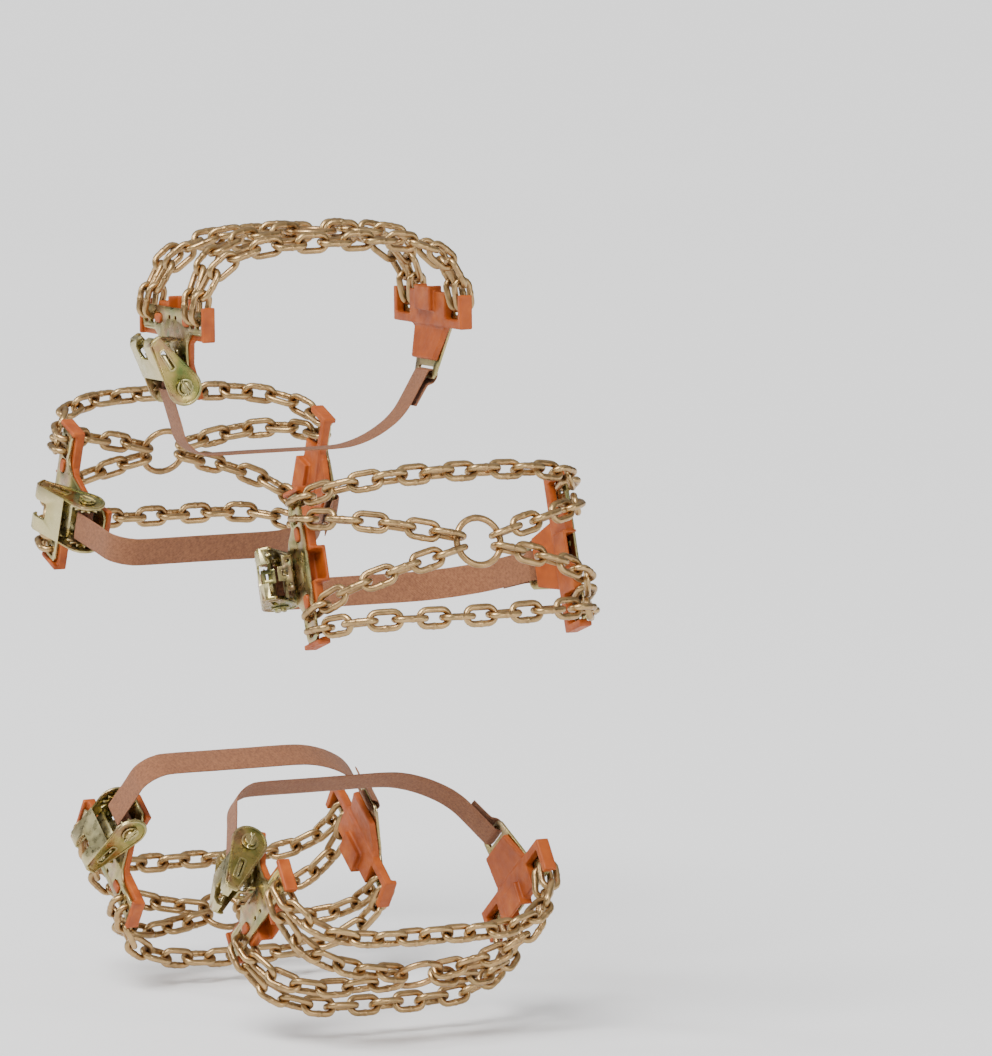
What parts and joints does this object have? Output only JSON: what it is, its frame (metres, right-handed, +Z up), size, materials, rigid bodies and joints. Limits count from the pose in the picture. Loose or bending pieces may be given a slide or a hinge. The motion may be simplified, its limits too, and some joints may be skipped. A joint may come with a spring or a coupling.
{
  "type": "tire snow chains",
  "caption": "Set of separate snow chain segments for one car wheel: twin side chains and an X of chain with a ring, T-plates with orange pads, webbing straps and strap ratchets.",
  "frame": {"origin": "centre of the wheel that the set is fitted to, in the middle plane of its tyre", "axes": "Y along the axle with the wheel's outer face and the ratchets to -Y, +Z up, +X to the wheel's right seen from outside"},
  "size_m": [0.6771, 0.2848, 0.6549],
  "materials": {
    "plate_zinc": "yellow zinc, iridescent satin",
    "chain_zinc": "coppery yellow zinc, satin",
    "pad_rubber": "matte orange moulded rubber",
    "strap_webbing": "woven brown webbing"
  },
  "bodies": {
    "root": {"face_plate_1": "plate_zinc", "face_pad_1": "pad_rubber", "inner_plate_1": "plate_zinc", "inner_pad_1": "pad_rubber", "side_chain_lead_1": "chain_zinc", "side_chain_trail_1": "chain_zinc", "cross_chains_1": "chain_zinc", "strap_1": "strap_webbing", "ratchet_base_1": "plate_zinc", "face_plate_2": "plate_zinc", "face_pad_2": "pad_rubber", "inner_plate_2": "plate_zinc", "inner_pad_2": "pad_rubber", "side_chain_lead_2": "chain_zinc", "side_chain_trail_2": "chain_zinc", "cross_chains_2": "chain_zinc", "strap_2": "strap_webbing", "ratchet_base_2": "plate_zinc", "face_plate_3": "plate_zinc", "face_pad_3": "pad_rubber", "inner_plate_3": "plate_zinc", "inner_pad_3": "pad_rubber", "side_chain_lead_3": "chain_zinc", "side_chain_trail_3": "chain_zinc", "cross_chains_3": "chain_zinc", "strap_3": "strap_webbing", "ratchet_base_3": "plate_zinc", "face_plate_4": "plate_zinc", "face_pad_4": "pad_rubber", "inner_plate_4": "plate_zinc", "inner_pad_4": "pad_rubber", "side_chain_lead_4": "chain_zinc", "side_chain_trail_4": "chain_zinc", "cross_chains_4": "chain_zinc", "strap_4": "strap_webbing", "ratchet_base_4": "plate_zinc", "face_plate_5": "plate_zinc", "face_pad_5": "pad_rubber", "inner_plate_5": "plate_zinc", "inner_pad_5": "pad_rubber", "side_chain_lead_5": "chain_zinc", "side_chain_trail_5": "chain_zinc", "cross_chains_5": "chain_zinc", "strap_5": "strap_webbing", "ratchet_base_5": "plate_zinc"},
    "handle_1": {"ratchet_handle_1": "plate_zinc"},
    "pawl_1": {"drive_pawl_1": "plate_zinc"},
    "spindle_1": {"ratchet_spindle_1": "plate_zinc"},
    "handle_2": {"ratchet_handle_2": "plate_zinc"},
    "pawl_2": {"drive_pawl_2": "plate_zinc"},
    "spindle_2": {"ratchet_spindle_2": "plate_zinc"},
    "handle_3": {"ratchet_handle_3": "plate_zinc"},
    "pawl_3": {"drive_pawl_3": "plate_zinc"},
    "spindle_3": {"ratchet_spindle_3": "plate_zinc"},
    "handle_4": {"ratchet_handle_4": "plate_zinc"},
    "pawl_4": {"drive_pawl_4": "plate_zinc"},
    "spindle_4": {"ratchet_spindle_4": "plate_zinc"},
    "handle_5": {"ratchet_handle_5": "plate_zinc"},
    "pawl_5": {"drive_pawl_5": "plate_zinc"},
    "spindle_5": {"ratchet_spindle_5": "plate_zinc"}
  },
  "joints": [
    {"name": "handle_swing_1", "type": "hinge", "parent": "root", "child": "handle_1", "pos_m": [0.19761, -0.121, 0.06804], "axis": [0.3256, 0, -0.9455], "range_deg": [0, 90]},
    {"name": "spindle_turn_1", "type": "hinge", "parent": "root", "child": "spindle_1", "pos_m": [0.19761, -0.121, 0.06804], "axis": [0.3256, 0, -0.9455], "continuous": true},
    {"name": "pawl_slide_1", "type": "slide", "parent": "handle_1", "child": "pawl_1", "axis": [0.7885, -0.5519, 0.2715], "range_m": [-0.002, 0.003]},
    {"name": "handle_swing_2", "type": "hinge", "parent": "root", "child": "handle_2", "pos_m": [-0.00547, -0.121, 0.20893], "axis": [0.9997, 0, 0.0262], "range_deg": [0, 90]},
    {"name": "spindle_turn_2", "type": "hinge", "parent": "root", "child": "spindle_2", "pos_m": [-0.00547, -0.121, 0.20893], "axis": [0.9997, 0, 0.0262], "continuous": true},
    {"name": "pawl_slide_2", "type": "slide", "parent": "handle_2", "child": "pawl_2", "axis": [-0.0218, -0.5519, 0.8336], "range_m": [-0.002, 0.003]},
    {"name": "handle_swing_3", "type": "hinge", "parent": "root", "child": "handle_3", "pos_m": [-0.1964, -0.121, 0.07148], "axis": [0.342, 0, 0.9397], "range_deg": [0, 90]},
    {"name": "spindle_turn_3", "type": "hinge", "parent": "root", "child": "spindle_3", "pos_m": [-0.1964, -0.121, 0.07148], "axis": [0.342, 0, 0.9397], "continuous": true},
    {"name": "pawl_slide_3", "type": "slide", "parent": "handle_3", "child": "pawl_3", "axis": [-0.7836, -0.5519, 0.2852], "range_m": [-0.002, 0.003]},
    {"name": "handle_swing_4", "type": "hinge", "parent": "root", "child": "handle_4", "pos_m": [-0.11988, -0.121, -0.1712], "axis": [-0.8192, 0, 0.5736], "range_deg": [0, 90]},
    {"name": "spindle_turn_4", "type": "hinge", "parent": "root", "child": "spindle_4", "pos_m": [-0.11988, -0.121, -0.1712], "axis": [-0.8192, 0, 0.5736], "continuous": true},
    {"name": "pawl_slide_4", "type": "slide", "parent": "handle_4", "child": "pawl_4", "axis": [-0.4783, -0.5519, -0.6831], "range_m": [-0.002, 0.003]},
    {"name": "handle_swing_5", "type": "hinge", "parent": "root", "child": "handle_5", "pos_m": [0.12578, -0.121, -0.16692], "axis": [-0.7986, 0, -0.6018], "range_deg": [0, 90]},
    {"name": "spindle_turn_5", "type": "hinge", "parent": "root", "child": "spindle_5", "pos_m": [0.12578, -0.121, -0.16692], "axis": [-0.7986, 0, -0.6018], "continuous": true},
    {"name": "pawl_slide_5", "type": "slide", "parent": "handle_5", "child": "pawl_5", "axis": [0.5018, -0.5519, -0.666], "range_m": [-0.002, 0.003]}
  ]
}
